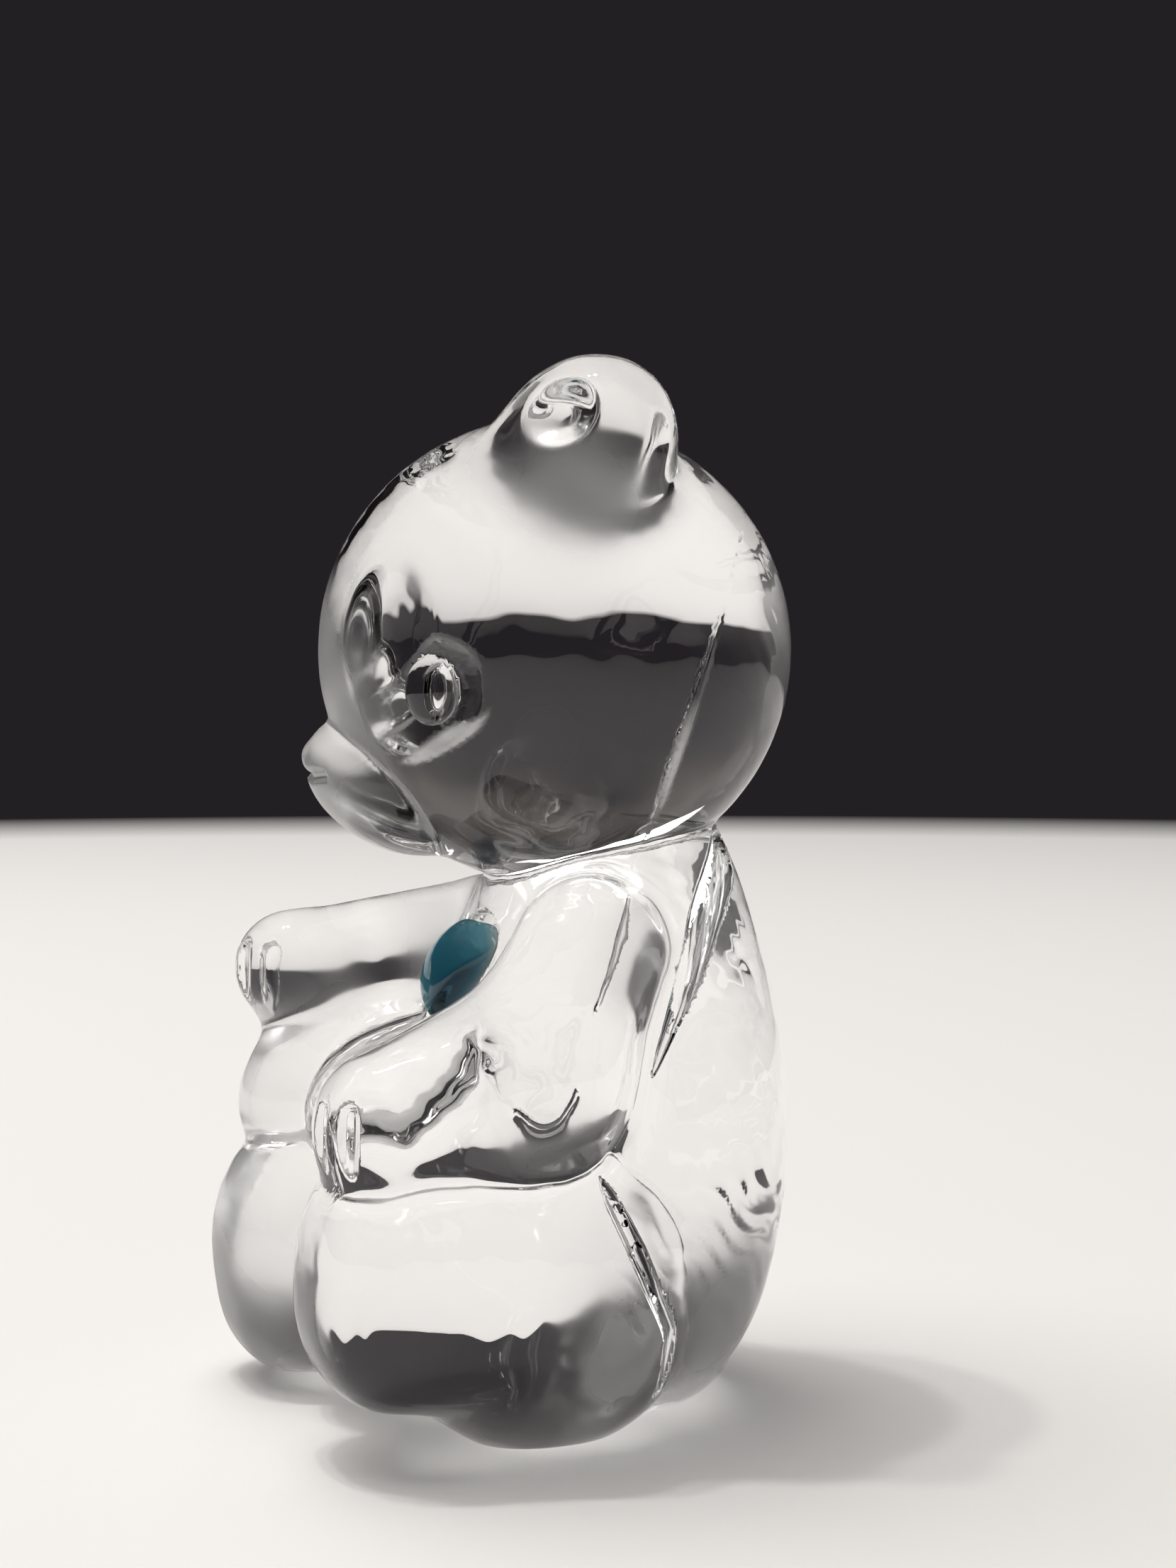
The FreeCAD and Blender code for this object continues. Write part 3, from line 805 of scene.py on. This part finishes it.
def floor_material():
    """Matt off-white table top that falls away into the dark room."""
    material, nodes, links, shader = principled("table_top")
    shader.inputs["Roughness"].default_value = TABLE_ROUGHNESS
    where = nodes.new("ShaderNodeTexCoord")
    length = nodes.new("ShaderNodeVectorMath")
    length.operation = "LENGTH"
    links.new(where.outputs["Object"], length.inputs[0])
    reach = share_between(nodes, links, length.outputs["Value"], TABLE_REACH - TABLE_FADE, TABLE_REACH)
    mix_colours(nodes, links, reach, TABLE_TOP, ROOM, shader.inputs["Base Color"])
    return material


# ---------------------------------------------------------------- stage, light and camera

def from_view(right, towards, up):
    """A place given as the photographer sees it, in metres: to the right, towards the camera and up."""
    return VIEW_RIGHT * right + VIEW_BACK * towards + UP * up


def add_floor():
    """The table top, a disc under the bear."""
    at = (0, 0, BODY_LOW.z)
    sides = {"vertices": TABLE_SIDES, "fill_type": "NGON"}
    bpy.ops.mesh.primitive_circle_add(radius=TABLE_REACH, location=at, **sides)
    floor = bpy.context.object
    floor.name = "table_top"
    floor.data.materials.append(floor_material())


def add_lamp(name, place, size, power, colour):
    """A round lamp that shines on the bear."""
    data = bpy.data.lights.new(name, "AREA")
    data.shape = "DISK"
    data.size = size
    data.energy = power
    data.color = colour
    lamp = bpy.data.objects.new(name, data)
    lamp.location = place
    lamp.rotation_euler = (LIT - place).to_track_quat("-Z", "Y").to_euler()
    lamp.visible_glossy = size < WIDEST_HIGHLIGHT
    bpy.context.scene.collection.objects.link(lamp)


def add_room():
    """A dark room all round, with a faintly lighter and blotchy ceiling."""
    world = bpy.data.worlds.new("dark_room")
    world.use_nodes = True
    nodes, links = world.node_tree.nodes, world.node_tree.links
    where = nodes.new("ShaderNodeTexCoord")
    blotch = nodes.new("ShaderNodeTexNoise")
    blotch.inputs["Scale"].default_value = BLOTCH_SCALE
    blotch.inputs["Detail"].default_value = BLOTCH_DETAIL
    links.new(where.outputs["Generated"], blotch.inputs["Vector"])
    parts = nodes.new("ShaderNodeSeparateXYZ")
    links.new(where.outputs["Generated"], parts.inputs["Vector"])
    amount = nodes.new("ShaderNodeMath")
    amount.operation = "MULTIPLY"
    links.new(share_between(nodes, links, parts.outputs["Z"], *CEILING_FROM), amount.inputs[0])
    links.new(share_between(nodes, links, blotch.outputs["Fac"], *BLOTCH_FADE), amount.inputs[1])
    mix_colours(nodes, links, amount.outputs["Value"], ROOM, CEILING, nodes["Background"].inputs["Color"])
    bpy.context.scene.world = world


def add_camera():
    """A camera at the photographer's place."""
    data = bpy.data.cameras.new("camera")
    data.sensor_width = 36
    data.lens = LENS
    data.clip_start = 0.01
    camera = bpy.data.objects.new("camera", data)
    camera.location = from_view(*CAMERA_AT)
    look = -VIEW_BACK * math.cos(CAMERA_PITCH) - UP * math.sin(CAMERA_PITCH)
    camera.rotation_euler = look.to_track_quat("-Z", "Y").to_euler()
    bpy.context.scene.collection.objects.link(camera)
    bpy.context.scene.camera = camera


# ---------------------------------------------------------------- the scene

bear_low = [value / MM - BEAR_ROOM for value in BODY_LOW]
bear_high = [value / MM + BEAR_ROOM for value in BODY_HIGH]
bear_step = BEAR_STEP
body = mesh_from_distance("crystal_bear", bear, bear_low, bear_high, bear_step)
mark_bonded(body)
mark_skin(body)
adopt(body, "bear_body", crystal_glass())

across = HEART_WIDE / 2 + HEART_ROOM
upright = HEART_TALL / 2 + HEART_ROOM
heart_low = (-across, -upright, -HEART_ROOM)
heart_high = (across, upright, HEART_THICK + HEART_ROOM)
stone = mesh_from_distance("glass_heart", heart, heart_low, heart_high, HEART_STEP)
place_on_seat(stone, BOND_THICK / 2)
mark_bonded(stone)
adopt(stone, "heart_cabochon", teal_glass())

bond_low = (-across, -upright, -BOND_ROOM)
bond_high = (across, upright, BOND_ROOM)
bond = mesh_from_distance("clear_bond", film, bond_low, bond_high, BOND_STEP)
place_on_seat(bond, 0)
adopt(bond, "heart_adhesive", glass("clear_resin", RESIN_IOR, RESIN_ROUGHNESS))

add_floor()
for lamp_name, (lamp_place, *lamp_light) in LAMPS.items():
    add_lamp(lamp_name, from_view(*lamp_place), *lamp_light)
add_room()
add_camera()
bpy.context.scene.view_settings.view_transform = "Standard"
